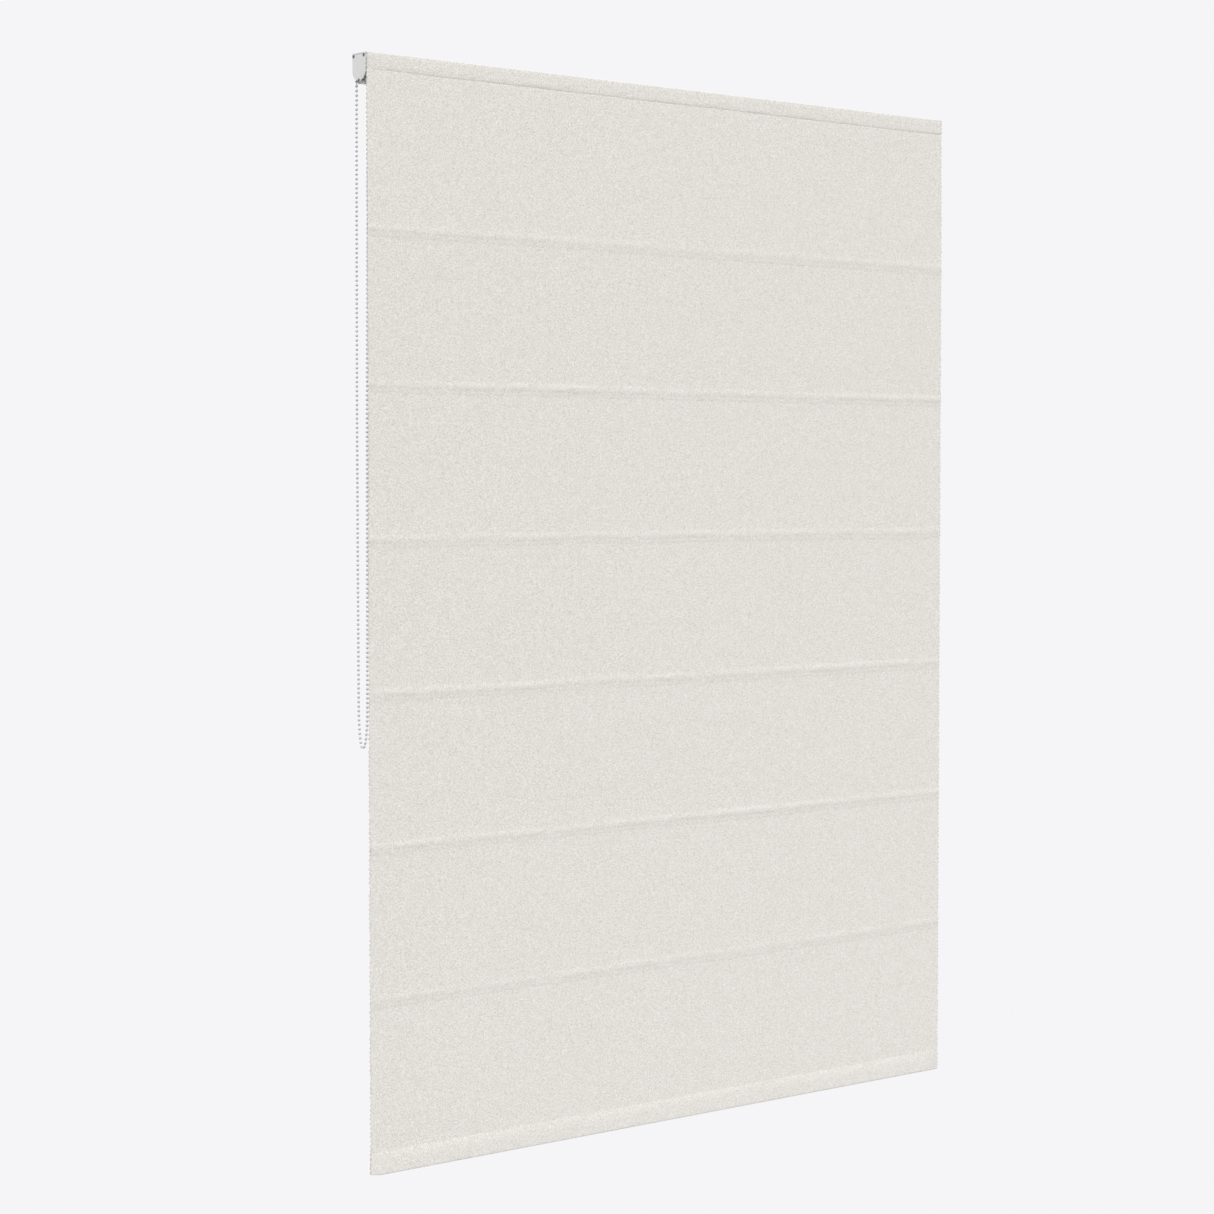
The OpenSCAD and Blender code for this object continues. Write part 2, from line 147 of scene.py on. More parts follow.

# %% [markdown]
# `make_piece` turns a shape into an object. Its faces are turned outwards, so that light falls on the
# right side, and each piece is told which body it rides on, which material it takes and which pieces
# of the model it stands in for.

# %% Making one piece
def make_piece(name, shape, material, body, stands_for=(), sharp=40):
    """An object on a body, in place of the nodes it stands for; edges over sharp degrees are hard."""
    points, faces = shape
    mesh = bpy.data.meshes.new(name)
    mesh.from_pydata((points * MM).tolist(), [], faces)
    outward = bmesh.new()
    outward.from_mesh(mesh)
    bmesh.ops.recalc_face_normals(outward, faces=outward.faces)
    outward.to_mesh(mesh)
    outward.free()
    mesh.shade_smooth()
    mesh.set_sharp_from_angle(angle=math.radians(sharp))
    mesh.materials.append(material)
    piece = bpy.data.objects.new(name, mesh)
    bpy.context.scene.collection.objects.link(piece)
    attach(piece, body)
    if stands_for:
        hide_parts(*stands_for)
    print(name, "has", sum(len(f) - 2 for f in faces), "triangles")
    return piece


# %% [markdown]
# ## Making a material
# A finish starts from what the real material is. Colours are written as sRGB hex, the way a
# colour picker shows them, and `linear` turns them into the light values that a shader needs.
# `add` puts one node in a tree, with its settings and its links, and `grain` gives the scale of
# a pattern from the real size of its marks in millimetres.

# %% Material helpers
def linear(hex_colour):
    parts = [int(hex_colour[i:i + 2], 16) / 255 for i in (1, 3, 5)]
    return tuple(c / 12.92 if c <= 0.04045 else ((c + 0.055) / 1.055) ** 2.4 for c in parts) + (1,)


def grain(size_mm):
    return 1 / (size_mm * MM)


def add(tree, kind, links=None, inputs=None, **settings):
    made = tree.nodes.new(kind)
    for name, value in settings.items():
        setattr(made, name, value)
    for name, value in (inputs or {}).items():
        made.inputs[name].default_value = value
    for name, socket in (links or {}).items():
        tree.links.new(socket, made.inputs[name])
    return made


def start_material(name, **sockets):
    """A material, its tree, its shader with these sockets set, and the place on the piece."""
    material = bpy.data.materials.new(name)
    material.use_nodes = True
    tree = material.node_tree
    shader = tree.nodes["Principled BSDF"]
    for socket, value in sockets.items():
        shader.inputs[socket.replace("_", " ")].default_value = value
    place = add(tree, "ShaderNodeTexCoord").outputs["Object"]
    return material, tree, shader, place


print("the middle grey #808080 sends back", round(linear("#808080")[0], 2), "of the light")

# %% [markdown]
# ## Plastics, metals and threads
# Moulded plastic shows the grain of its mould: a tool cut by sparks leaves a fine even pitting,
# which takes the hard edge off reflections. ABS makes the housings, acetal the parts that rub,
# such as beads and spools. One function makes them all, from two near colours and a roughness,
# because the way that they are made is the same.

# %% Moulded plastics
SPARK_GRAIN_MM = 0.45
FLOW_MARK_MM = 14


def moulded_plastic(name, dark, light, roughness, pit_mm=0.02):
    """Injection-moulded plastic: even pitting, and faint cloudy flow marks in the colour."""
    material, tree, shader, place = start_material(name, Roughness=roughness, IOR=1.5)
    flow = add(tree, "ShaderNodeTexNoise", {"Vector": place},
               {"Scale": grain(FLOW_MARK_MM), "Detail": 3})
    colour = add(tree, "ShaderNodeMix", {0: flow.outputs["Fac"]},
                 {6: linear(dark), 7: linear(light)}, data_type="RGBA")
    tree.links.new(colour.outputs[2], shader.inputs["Base Color"])
    pits = add(tree, "ShaderNodeTexNoise", {"Vector": place},
               {"Scale": grain(SPARK_GRAIN_MM), "Detail": 1})
    bump = add(tree, "ShaderNodeBump", {"Height": pits.outputs["Fac"]},
               {"Strength": 0.6, "Distance": pit_mm * MM})
    tree.links.new(bump.outputs["Normal"], shader.inputs["Normal"])
    return material


# cover, housing and end cap: a pale neutral grey, which stays quiet beside the cloth
pale_abs = moulded_plastic("moulded_pale_grey_abs", "#d3d2d3", "#d9d8d9", roughness=0.42)
# drive core: mid grey, so that the drive sits in shade behind the cover
grey_abs = moulded_plastic("moulded_grey_abs", "#7b7a7b", "#878586", roughness=0.45)
# beads rub in the hand and the wheel: acetal, waxy and a little shiny
bead_acetal = moulded_plastic("moulded_grey_acetal", "#b2b1b2", "#bcbbbb",
                              roughness=0.3, pit_mm=0.008)
# spools, rings, anchors and bush: natural acetal, milky white
white_acetal = moulded_plastic("moulded_white_acetal", "#e6e5e0", "#f1f0ec", roughness=0.34)
# cradles: the pale grey of glass-filled nylon, dull
filled_nylon = moulded_plastic("glass_filled_nylon", "#c4c5c6", "#d0d1d1",
                               roughness=0.55, pit_mm=0.03)
print("moulded plastics made")

# %% [markdown]
# Aluminium profiles are pressed through a die, which draws fine lines along their length, and
# the anodised skin blurs what they reflect. Zinc plating on the pressed steel brackets has a
# faint cloudy bloom. Both keep a metal's own shader: full metallic, and roughness from a
# pattern that is stretched along the metal's run.

# %% Metals
DIE_LINE_MM = 0.5
DIE_LINE_RUN_MM = 180
ZINC_BLOOM_MM = 6
MARK_DEPTH_MM = 0.02


def metal(name, dark, light, smooth, rough, size_mm, run_mm):
    """A metal whose marks are size_mm wide and run_mm long in X."""
    material, tree, shader, place = start_material(name, Metallic=1)
    stretch = add(tree, "ShaderNodeMapping", {"Vector": place},
                  {"Scale": (grain(run_mm), grain(size_mm), grain(size_mm))})
    marks = add(tree, "ShaderNodeTexNoise", {"Vector": stretch.outputs["Vector"]},
                {"Scale": 1, "Detail": 4, "Roughness": 0.6})
    colour = add(tree, "ShaderNodeMix", {0: marks.outputs["Fac"]},
                 {6: linear(dark), 7: linear(light)}, data_type="RGBA")
    tree.links.new(colour.outputs[2], shader.inputs["Base Color"])
    blur = add(tree, "ShaderNodeMapRange", {"Value": marks.outputs["Fac"]},
               {"To Min": smooth, "To Max": rough})
    tree.links.new(blur.outputs["Result"], shader.inputs["Roughness"])
    bump = add(tree, "ShaderNodeBump", {"Height": marks.outputs["Fac"]},
               {"Strength": 0.3, "Distance": MARK_DEPTH_MM * MM})
    tree.links.new(bump.outputs["Normal"], shader.inputs["Normal"])
    return material


# rail and bottom bar: satin silver with lines along the profile
anodised = metal("anodised_aluminium", "#c3c4c6", "#d3d4d5", smooth=0.3, rough=0.42,
                 size_mm=DIE_LINE_MM, run_mm=DIE_LINE_RUN_MM)
# shaft: drawn bright, smoother than the rail
drawn_aluminium = metal("drawn_aluminium", "#bdbfc1", "#d0d1d3", smooth=0.2, rough=0.32,
                        size_mm=DIE_LINE_MM, run_mm=DIE_LINE_RUN_MM)
# brackets: bluish bright zinc with a cloudy bloom
zinc_steel = metal("zinc_plated_steel", "#aeb3b8", "#c9ccce", smooth=0.26, rough=0.46,
                   size_mm=ZINC_BLOOM_MM, run_mm=ZINC_BLOOM_MM)
# clutch spring: hard drawn wire, oiled and darker
spring_steel = metal("spring_steel_wire", "#7d7c7a", "#97969a", smooth=0.25, rough=0.35,
                     size_mm=0.4, run_mm=0.4)
# cover screws: chemically blackened steel, which still glints on its edges
black_steel = metal("blackened_steel", "#7c7a7b", "#8c8a8b", smooth=0.35, rough=0.5,
                    size_mm=0.6, run_mm=0.6)
print("metals made")

# %% [markdown]
# Threads and tapes are matt and soft: their light comes back from many small fibres, so they
# are rough with a little sheen. The chain's cord is twisted and the lift cords are braided, both
# of polyester. Their strands are real geometry further down, so the finish only adds the fibres.
# The rods are drawn from glass fibre and resin, with the fibres lying along them.

# %% Threads, tapes and rods
FIBRE_MM = 0.25
FIBRE_RUN_MM = 3


def fibrous(name, dark, light, run, sheen, roughness=0.85, depth_mm=0.06):
    """A bundle of fibres; run gives the size of their marks along X, Y and Z in millimetres."""
    material, tree, shader, place = start_material(
        name, Roughness=roughness, Sheen_Weight=sheen, Sheen_Roughness=0.5)
    stretch = add(tree, "ShaderNodeMapping", {"Vector": place},
                  {"Scale": tuple(grain(size) for size in run)})
    fibres = add(tree, "ShaderNodeTexNoise", {"Vector": stretch.outputs["Vector"]},
                 {"Scale": 1, "Detail": 3, "Roughness": 0.65})
    colour = add(tree, "ShaderNodeMix", {0: fibres.outputs["Fac"]},
                 {6: linear(dark), 7: linear(light)}, data_type="RGBA")
    tree.links.new(colour.outputs[2], shader.inputs["Base Color"])
    bump = add(tree, "ShaderNodeBump", {"Height": fibres.outputs["Fac"]},
               {"Strength": 0.7, "Distance": depth_mm * MM})
    tree.links.new(bump.outputs["Normal"], shader.inputs["Normal"])
    return material


braid_run = (FIBRE_MM, FIBRE_MM, FIBRE_RUN_MM)
# chain cord: clean white polyester, paler than the beads on it
chain_polyester = fibrous("twisted_polyester", "#e9e9e8", "#f6f6f5", braid_run, sheen=0.2)
# lift cords: clean white braid
braided_polyester = fibrous("braided_polyester", "#e4e3df", "#f3f2ef", braid_run, sheen=0.2)
# rod pockets: white woven tape with ribs across it
woven_tape = fibrous("woven_polyester_tape", "#dedcd6", "#f0efeb",
                     run=(0.7, FIBRE_RUN_MM, FIBRE_RUN_MM), sheen=0.3)
# hook and loop tapes: a dense pile
pile_tape = fibrous("nylon_pile_tape", "#d8d8d5", "#f2f2f0", run=(0.6, 0.6, 0.6), sheen=0.4,
                    roughness=0.9, depth_mm=0.3)
# sewing thread: near the cloth's colour
sewing_thread = fibrous("sewing_thread", "#d8d3c9", "#e9e5dd", run=(0.6, 0.3, 0.3), sheen=0.25)
# rods: pale resin with glass fibres along them
glass_fibre = fibrous("drawn_glass_fibre", "#d9dcd6", "#eceee9",
                      run=(60, FIBRE_MM, FIBRE_MM), sheen=0, roughness=0.38, depth_mm=0.02)
print("threads, tapes and rods made")

# %% [markdown]
# ## The cloth's finish
# The cloth is a heavy cream weave with a bouclé yarn: a yarn that is spun in small loops, so the face
# is a field of pale curls with beige yarn between them, and the low places between the curls are also
# painted darker as painted shade. Curls of little more than a millimetre just show from four metres
# away, so they are drawn at their real size, with flecks for the fibres that stand out of them. Thick
# places in the weft, the slubs, run across it and are barely seen. The single threads, under half a
# millimetre, would only make noise at this distance and are left to the roughness.

# %% Boucle cloth
CURL_MM = 1.2
FLECK_MM = 0.7
SLUB_MM = (12, 1.6, 1.2)
FLECK_SHARE = 0.6
SLUB_SHARE = 0.08
YARN_LOW, YARN_HIGH = 0.685, 0.995
CURL_DEPTH_MM = 0.25
# the colour of the low places between the curls: beige yarn, painted darker as shade in the hollows
HOLLOW_BEIGE_AND_PAINTED_SHADE = "#cac4b9"
CURL_FACE = "#f8f6f4"
# noise is weak along the planes of its own lattice, so it is turned askew to the cloth
ASKEW = (0.7, 0.5, 0.3)


def boucle_cloth():
    """Soft curls, flecks and slubs, added up to one height that sets the colour and the bump."""
    material, tree, shader, place = start_material(
        "cream_boucle_weave", Roughness=0.95, Sheen_Weight=0.12, Sheen_Roughness=0.6)
    askew = add(tree, "ShaderNodeMapping", {"Vector": place}, {"Rotation": ASKEW})
    curl = add(tree, "ShaderNodeTexNoise", {"Vector": askew.outputs["Vector"]},
               {"Scale": grain(CURL_MM), "Detail": 1.5, "Roughness": 0.6, "Distortion": 0.8})
    fleck = add(tree, "ShaderNodeTexNoise", {"Vector": askew.outputs["Vector"]},
                {"Scale": grain(FLECK_MM), "Detail": 1})
    across = add(tree, "ShaderNodeMapping", {"Vector": place},
                 {"Scale": tuple(grain(size) for size in SLUB_MM)})
    slub = add(tree, "ShaderNodeTexNoise", {"Vector": across.outputs["Vector"]},
               {"Scale": 1, "Detail": 2})
    loops = add(tree, "ShaderNodeMath", {0: fleck.outputs["Fac"], 2: curl.outputs["Fac"]},
                {1: FLECK_SHARE}, operation="MULTIPLY_ADD")
    yarn = add(tree, "ShaderNodeMath", {0: slub.outputs["Fac"], 2: loops.outputs[0]},
               {1: SLUB_SHARE}, operation="MULTIPLY_ADD")
    height = add(tree, "ShaderNodeMapRange", {"Value": yarn.outputs[0]},
                 {"From Min": YARN_LOW, "From Max": YARN_HIGH})
    # low places take the darker colour and high ones the pale: beige yarn, and painted shade in the
    # hollows between the curls
    colour = add(tree, "ShaderNodeMix", {0: height.outputs["Result"]},
                 {6: linear(HOLLOW_BEIGE_AND_PAINTED_SHADE), 7: linear(CURL_FACE)}, data_type="RGBA")
    tree.links.new(colour.outputs[2], shader.inputs["Base Color"])
    bump = add(tree, "ShaderNodeBump", {"Height": height.outputs["Result"]},
               {"Strength": 0.5, "Distance": CURL_DEPTH_MM * MM})
    tree.links.new(bump.outputs["Normal"], shader.inputs["Normal"])
    return material


boucle = boucle_cloth()
# painted shade: the edge yarn is coloured a shade darker than the cloth, so that it is no brighter
# than the cloth where its loops face the key lamp
edge_yarn_painted_shade = fibrous("boucle_edge_yarn_painted_shade", "#b3aea5", "#cfccc6", run=(0.7, 0.7, 1.2), sheen=0.12)
print("cloth finishes made:", boucle.name, edge_yarn_painted_shade.name)

# %% [markdown]
# ## The bead chain
# The chain is a loop of thin cord with 303 beads moulded onto it, 6 mm apart: it runs over the
# wheel behind the cover, and hangs in two strands. Its route repeats the list that the model was
# drawn with: for each height above the lowest point, how far the rear and the front strand are
# behind the wheel's axis. A smooth curve goes through those points.

# %% Hanging part of the chain
HANG = [
    (13.5, -11.3, 700), (14.3, -8.3, 450), (13.6, -7.5, 200), (13, -6.8, 90), (12.9, -6.6, 55),
    (12.2, -5.9, 34), (10.6, -4.2, 18), (8.8, -2.2, 8), (6.5, 0.4, 2),
]
HANG_LOWEST = (3.4, 0)
HANG_STEPS = [1, 1, 1, 2, 3, 4, 4, 4, 4]


def curve(points, steps):
    """A smooth curve through points, with that many steps in each stretch."""
    points = np.array(points, float)
    padded = np.concatenate([points[:1], points, points[-1:]])
    rows = []
    for i, count in enumerate(steps):
        a, b, c, d = padded[i:i + 4]
        for t in np.arange(count) / count:
            rows.append(0.5 * (2 * b + (c - a) * t + (2 * a - 5 * b + 4 * c - d) * t ** 2
                               + (3 * b - a - 3 * c + d) * t ** 3))
    return np.array(rows + [points[-1]])


def run_length(points):
    return np.concatenate([[0], np.cumsum(np.linalg.norm(np.diff(points, axis=0), axis=1))])


loop = [(rear, up) for rear, front, up in HANG] + [HANG_LOWEST]
loop += [(front, up) for rear, front, up in reversed(HANG)]
low = curve(loop, HANG_STEPS + HANG_STEPS[::-1])
low_run = run_length(low)
print("the lower part of the loop is", round(low_run[-1]), "mm long")

# %% [markdown]
# The two straight stretches above it take up the beads that are left over, and the top of the
# loop lies on the wheel.

# %% Route of the chain
BEADS = 303
BEAD_PITCH = 6
WHEEL_POCKETS = 13
STRING_D = 1.5

chain_l = BEADS * BEAD_PITCH
wheel_r = WHEEL_POCKETS * BEAD_PITCH / (2 * math.pi)
chain_x = middle("chain_string")[0]
axis_y, axis_z = middle("chain_wheel")[1:]
straight = chain_l - math.pi * wheel_r - low_run[-1]
lean = (wheel_r - HANG[0][0], wheel_r + HANG[0][1])
straight_h = (straight - (lean[0] ** 2 + lean[1] ** 2) / straight) / 2
hang_h = HANG[0][2] + straight_h
rear_l = wheel_r * math.pi / 2 + math.hypot(straight_h, lean[0])

# angles on the wheel, two steps from pocket to pocket, and where the strand leaves it
arc = np.append(np.arange(WHEEL_POCKETS // 2 + 1) * math.pi / WHEEL_POCKETS, math.pi / 2)
up_arc = arc[::-1]
chain_run = np.concatenate([wheel_r * arc, rear_l + low_run, chain_l - wheel_r * up_arc])
chain_rear = np.concatenate([wheel_r * np.sin(arc), low[:, 0], -wheel_r * np.sin(up_arc)])
chain_up = np.concatenate([wheel_r * np.cos(arc), low[:, 1] - hang_h, wheel_r * np.cos(up_arc)])


def on_chain(run):
    """Points at these distances along the chain, from the top of the wheel."""
    return np.stack([
        np.full_like(run, chain_x),
        axis_y + np.interp(run, chain_run, chain_rear),
        axis_z + np.interp(run, chain_run, chain_up),
    ], -1)


print("chain of", chain_l, "mm hangs", round(hang_h), "mm below the wheel")

# %% [markdown]
# The cord is a tube with three strands twisted round each other: the outline of each ring has
# three low lobes, and the lobes turn a little from ring to ring. The two ends meet inside the
# first bead, on top of the wheel, as the joint of a real chain does.

# %% Cord of the chain
LOBE = 0.07


def twisted_cord(path, diameter, sides, strands, lay_mm):
    """A tube of twisted strands along path; lay_mm is the length of one full twist."""
    ahead = np.gradient(path, axis=0)
    ahead /= np.linalg.norm(ahead, axis=1, keepdims=True)
    side = np.cross(ahead, (1, 0, 0))
    side /= np.linalg.norm(side, axis=1, keepdims=True)
    other = np.cross(ahead, side)
    angle = np.arange(sides) * 2 * math.pi / sides
    twist = run_length(path)[:, None] * 2 * math.pi / lay_mm
    radius = diameter / 2 * (1 + LOBE * np.cos(strands * (angle[None] - twist)))
    rings = path[:, None] + radius[..., None] * (
        np.cos(angle)[None, :, None] * side[:, None] + np.sin(angle)[None, :, None] * other[:, None])
    return tube(rings)


END_GAP = 0.6
STRING_RINGS = 1500

string_path = on_chain(np.linspace(END_GAP, chain_l - END_GAP, STRING_RINGS))
chain_cord = make_piece(
    "chain_cord", twisted_cord(string_path, STRING_D, sides=9, strands=3, lay_mm=4.5),
    chain_polyester, "rail_unit", ["chain_string"])

# %% [markdown]
# A bead is turned from an outline: a ball with a short collar at each end, where the plastic was
# moulded round the cord. Each one is set along the direction of the chain at its place.

# %% Beads
BEAD_R = 1.85
BEAD_SIDES = 12
# half of the outline: places along the chain and radii of the collar, then angles on the ball
COLLAR = [(2, 0.62), (1.94, 0.84), (1.8, 0.92)]
BALL_ANGLES = np.radians([33, 48, 66, 90])

half = COLLAR + [(BEAD_R * math.cos(a), BEAD_R * math.sin(a)) for a in BALL_ANGLES]
outline = np.array(half + [(-along, r) for along, r in reversed(half[:-1])])
turn = np.arange(BEAD_SIDES) * 2 * math.pi / BEAD_SIDES


def bead(place, ahead):
    side = np.array((1.0, 0, 0))
    other = np.cross(ahead, side)
    rim = np.cos(turn)[:, None] * side + np.sin(turn)[:, None] * other
    return tube(place + outline[:, :1, None] * ahead + outline[:, 1:, None] * rim)


bead_run = np.arange(BEADS) * float(BEAD_PITCH)
bead_places = on_chain(bead_run)
bead_ahead = on_chain((bead_run + 1) % chain_l) - on_chain((bead_run - 1) % chain_l)
bead_ahead /= np.linalg.norm(bead_ahead, axis=1, keepdims=True)
chain_bead_row = make_piece(
    "chain_bead_row", joined([bead(p, a) for p, a in zip(bead_places, bead_ahead)]),
    bead_acetal, "rail_unit", ["chain_beads"], sharp=60)

# %% [markdown]
# ## The cloth
# The blind is one sheet of cloth. It is turned over a tape at the top, hangs flat, stands out in a
# soft ridge at each of the six rods that are sewn behind it, and is turned up round a flat bar at the
# hem. Three pieces make it here, cut along its two seams: the head band and the panel between them
# stay on the rail, and the hem rises with the bar. Heights come from the model: each rod gives the
# depth of its ridge.

# %% Places on the cloth
CLOTH_T = 1
HEM_H = 33
# the sheet stops this far inside its cut edge, where the loops of the edge yarn take over
EDGE_IN = 0.9
CREASE_BELOW_TAPE = 0.9
RODS = range(1, 7)

cloth_low, cloth_high = box_mm("fabric")
tape_low, tape_high = box_mm("loop_tape")
top_z = cloth_high[2]
drop = top_z - cloth_low[2]
face_y = tape_low[1] - CLOTH_T
back_y = tape_low[1]
tape_h = tape_high[2] - tape_low[2]
crease = tape_h + CREASE_BELOW_TAPE
seam = drop - HEM_H
folds = [top_z - middle(f"rod_{rod}")[2] for rod in RODS]
edge_x = cloth_high[0]
print("cloth", round(2 * edge_x), "x", round(drop), "mm with folds at", np.round(folds))

# %% [markdown]
# No cloth hangs dead flat. `drift` gives smooth random hills from a seeded table, so the result
# is the same each time. `bell` and `ramp` are one soft swelling and one soft step.

# %% Hills, bells and ramps
TABLE_N = 64


def drift(u, v, seed):
    """Smooth random heights from -1 to 1, with one hill or so for each unit of u and v."""
    table = np.random.default_rng(seed).uniform(-1, 1, (TABLE_N, TABLE_N))
    i, j = np.floor(u).astype(int), np.floor(v).astype(int)
    p, q = u - i, v - j
    p, q = p * p * (3 - 2 * p), q * q * (3 - 2 * q)
    corner = [[table[(i + a) % TABLE_N, (j + b) % TABLE_N] for b in (0, 1)] for a in (0, 1)]
    near = corner[0][0] * (1 - q) + corner[0][1] * q
    far = corner[1][0] * (1 - q) + corner[1][1] * q
    return near * (1 - p) + far * p


def hills(x, row, kinds):
    """Several kinds of hills along one fold, added up; each has a height, a length and a seed."""
    return sum(height * drift(x / length, row, seed) for height, length, seed in kinds)


def bell(distance, spread):
    return np.exp(-(distance / spread) ** 2)


def ramp(distance, spread):
    return 0.5 + 0.5 * np.tanh(distance / spread)


print("hills come from tables of", TABLE_N, "x", TABLE_N, "heights")

# %% [markdown]
# Going down the cloth, each fold is a short step out over the rod, which catches the light, a
# longer fall below it, which lies in shade, and a drawn-in line where the pocket is sewn on
# behind. The step is uneven: it wanders, and it is higher in some places than in others. Beside
# the sewn lines the cloth is drawn into small puckers, and over the whole panel it sways by a
# fraction of a millimetre.

# %% Relief of the cloth
# the folds: height of the crest, the last step up to it for each fold, and places below the rod
CREST_OUT = 1.55
STEP_OUT = [0.3, 0.48, 0.37, 0.46, 0.46, 0.34]
STEP_AT, STEP_SPREAD = -4.6, 2.1
FALL_AT, FALL_SPREAD = 3.6, 1.8
SEWN_AT, SEWN_SPREAD = 10, 0.9
SEWN_IN = 0.08
DROP_BACK = 0.26
# the seams: how far the hem's one stands out, and the groove under the head band
SEAM_OUT = 1.25
GROOVE_IN, GROOVE_SPREAD = 0.12, 3
# puckers and sway of the loose cloth, and how far the seams and folds draw it
PUCKER_OUT, PUCKER_MM = 0.12, (15, 34)
SWAY_OUT = 0.12
SEAM_REACH, FOLD_REACH = 20, 24
HELD_FOR = 14
# hills along a fold: height, length in millimetres and seed
WANDER = [(0.7, 90, 1), (0.4, 19, 2)]
LIVELY = [(0.3, 40, 3), (0.45, 11, 4)]
DRAWN_MEAN, DRAWN = 0.7, [(0.6, 13, 5)]
# hills over the panel: share of the sway, length across and down, and seed
SWAY = [(1, 240, 170, 7), (0.5, 95, 110, 8)]


def stand_out(x, depth):
    """How far the cloth stands out to the room at a place across it and a depth below its top."""
    before = [CREST_OUT - step_out + i * DROP_BACK for i, step_out in enumerate(STEP_OUT)]
    out = np.interp(depth, [crease, *folds, seam], [0, *before, SEAM_OUT + len(folds) * DROP_BACK])
    sewn = bell(depth - crease, SEAM_REACH) + bell(depth - seam, SEAM_REACH)
    for i, fold in enumerate(folds):
        row = np.full_like(x, i)
        below = depth - fold - hills(x, row, WANDER)
        step = ramp(below - STEP_AT, STEP_SPREAD) - ramp(below - FALL_AT, FALL_SPREAD)
        drawn = bell(below - SEWN_AT, SEWN_SPREAD) * (DRAWN_MEAN + hills(x, row, DRAWN))
        out += STEP_OUT[i] * (1 + hills(x, row, LIVELY)) * step - SEWN_IN * drawn
        out -= DROP_BACK * ramp(below - SEWN_AT, SEWN_SPREAD)
        sewn += bell(depth - fold, FOLD_REACH)
    # close to the seams the cloth is held flat
    loose = np.clip((depth - crease) / HELD_FOR, 0, 1) * np.clip((seam - depth) / HELD_FOR, 0, 1)
    pucker = PUCKER_OUT * sewn * drift(x / PUCKER_MM[0], depth / PUCKER_MM[1], seed=6)
    sway = SWAY_OUT * sum(share * drift(x / across, depth / down, seed)
                          for share, across, down, seed in SWAY)
    groove = GROOVE_IN * bell(depth - crease, GROOVE_SPREAD)
    return out + loose * (pucker + sway) - groove


print("in its middle the cloth stands out",
      np.round(stand_out(np.zeros(len(folds)), np.array(folds)), 2), "mm at the folds")

# %% [markdown]
# The panel is a shell of two grids, front and back. Rows lie close together at each fold and wide
# apart between them, so the faces go where the shape is. As the blind is raised the real cloth stacks
# in folds, which no joint can show.

# %% Panel
COLUMNS = 250
ROW_STEP = 18
FOLD_ROW_STEP = 1.4
FOLD_ROWS = (-12, 15)
FOLD_ROWS_CLEAR = 4
SEAM_ROWS = np.array([0, 0.8, 1.6, 2.8, 4.5])

near_folds = np.concatenate([fold + np.arange(*FOLD_ROWS, FOLD_ROW_STEP) for fold in folds])
near_seams = np.concatenate([crease + SEAM_ROWS, seam - SEAM_ROWS])
plain = np.arange(crease + ROW_STEP, seam - ROW_STEP / 2, ROW_STEP)
from_fold = plain[:, None] - np.array(folds)
first, last = FOLD_ROWS
clear = (from_fold < first - FOLD_ROWS_CLEAR) | (from_fold > last + FOLD_ROWS_CLEAR)
depths = np.sort(np.concatenate([near_folds, near_seams, plain[clear.all(axis=1)]]))
across_x = np.linspace(-edge_x + EDGE_IN, edge_x - EDGE_IN, COLUMNS)
grid_x, grid_d = np.meshgrid(across_x, depths)
panel_front = np.stack([grid_x, face_y - stand_out(grid_x, grid_d), top_z - grid_d], -1)
panel_back = panel_front + np.array((0, CLOTH_T, 0))
panel = make_piece("cloth_panel", shell(panel_front, panel_back), boucle,
                   "rail_unit", ["fabric"], sharp=60)

# %% [markdown]
# The head band is the turned top of the cloth: double, so it stands 0.6 mm proud of the panel and
# ends in a sharp crease with a line of shade under it, which fades beside the control at the left.
# Its outline goes up the front, over a small round and down the back, and runs the width of the
# cloth. The front flutters a little, and the crease is higher and lower in places.

# %% Head band
TURN_T = 0.42
BAND_FRONT = [(-1.3, -0.1), (-1.1, 0.04), (-0.7, 0.18), (0, 0.32), (1, 0.46), (2.4, 0.56),
              (5, 0.62), (9, 0.56), (14, 0.48)]
ROUND_STEP = 22.5
# only the part that stands out by more than FLUTTER_FROM flutters
FLUTTER_OUT, FLUTTER_MM = 0.12, (23, 12)
FLUTTER_FROM = 0.5
# the crease: how far up it reaches, its uneven height and sag, and how it fades at the left end
CREASE_REACH = 6
CREASE_UNEVEN, CREASE_HILL = 0.35, 50
CREASE_SAG, SAG_HILL = 0.4, 70
END_FADE, END_REACH = 0.95, 22

round_r = (CLOTH_T + TURN_T) / 2
band = [(crease - up, out) for up, out in BAND_FRONT]
band += [(round_r * (1 - math.sin(a)), TURN_T - round_r * (1 - math.cos(a)))
         for a in np.radians(np.arange(0, 181, ROUND_STEP))]
band += [(crease / 2, -CLOTH_T), (crease, -CLOTH_T)]
band = np.array(band)
band_x, band_d = np.meshgrid(across_x, band[:, 0], indexing="ij")
band_out = band[:, 1]
flutter = FLUTTER_OUT * drift(band_x / FLUTTER_MM[0], band_d / FLUTTER_MM[1], seed=10)
flutter = flutter * (band_out > FLUTTER_FROM)
near_crease = bell(band_d - crease, CREASE_REACH) * (band_out > 0)
uneven = CREASE_UNEVEN * drift(band_x / CREASE_HILL, 0 * band_x, seed=18)
proud = 1 + near_crease * (uneven - END_FADE * bell(edge_x + band_x, END_REACH))
sag = CREASE_SAG * near_crease * drift(band_x / SAG_HILL, 0 * band_x, seed=19)
band_rings = np.stack([band_x, face_y - band_out * proud - flutter, top_z - band_d - sag], -1)
head_band = make_piece("cloth_head_band", tube(band_rings), boucle, "rail_unit", sharp=50)

# %% [markdown]
# The hem is one turn of cloth round the bottom bar, sewn along its top. The list goes down its
# front, round the bottom and up behind: height above the bottom, and how far it stands out. The
# inside follows HEM_WALL away. Past the ends of the bar the two layers are sewn flat on each other,
# in line with the panel, and the seam there draws the left corner up a little.

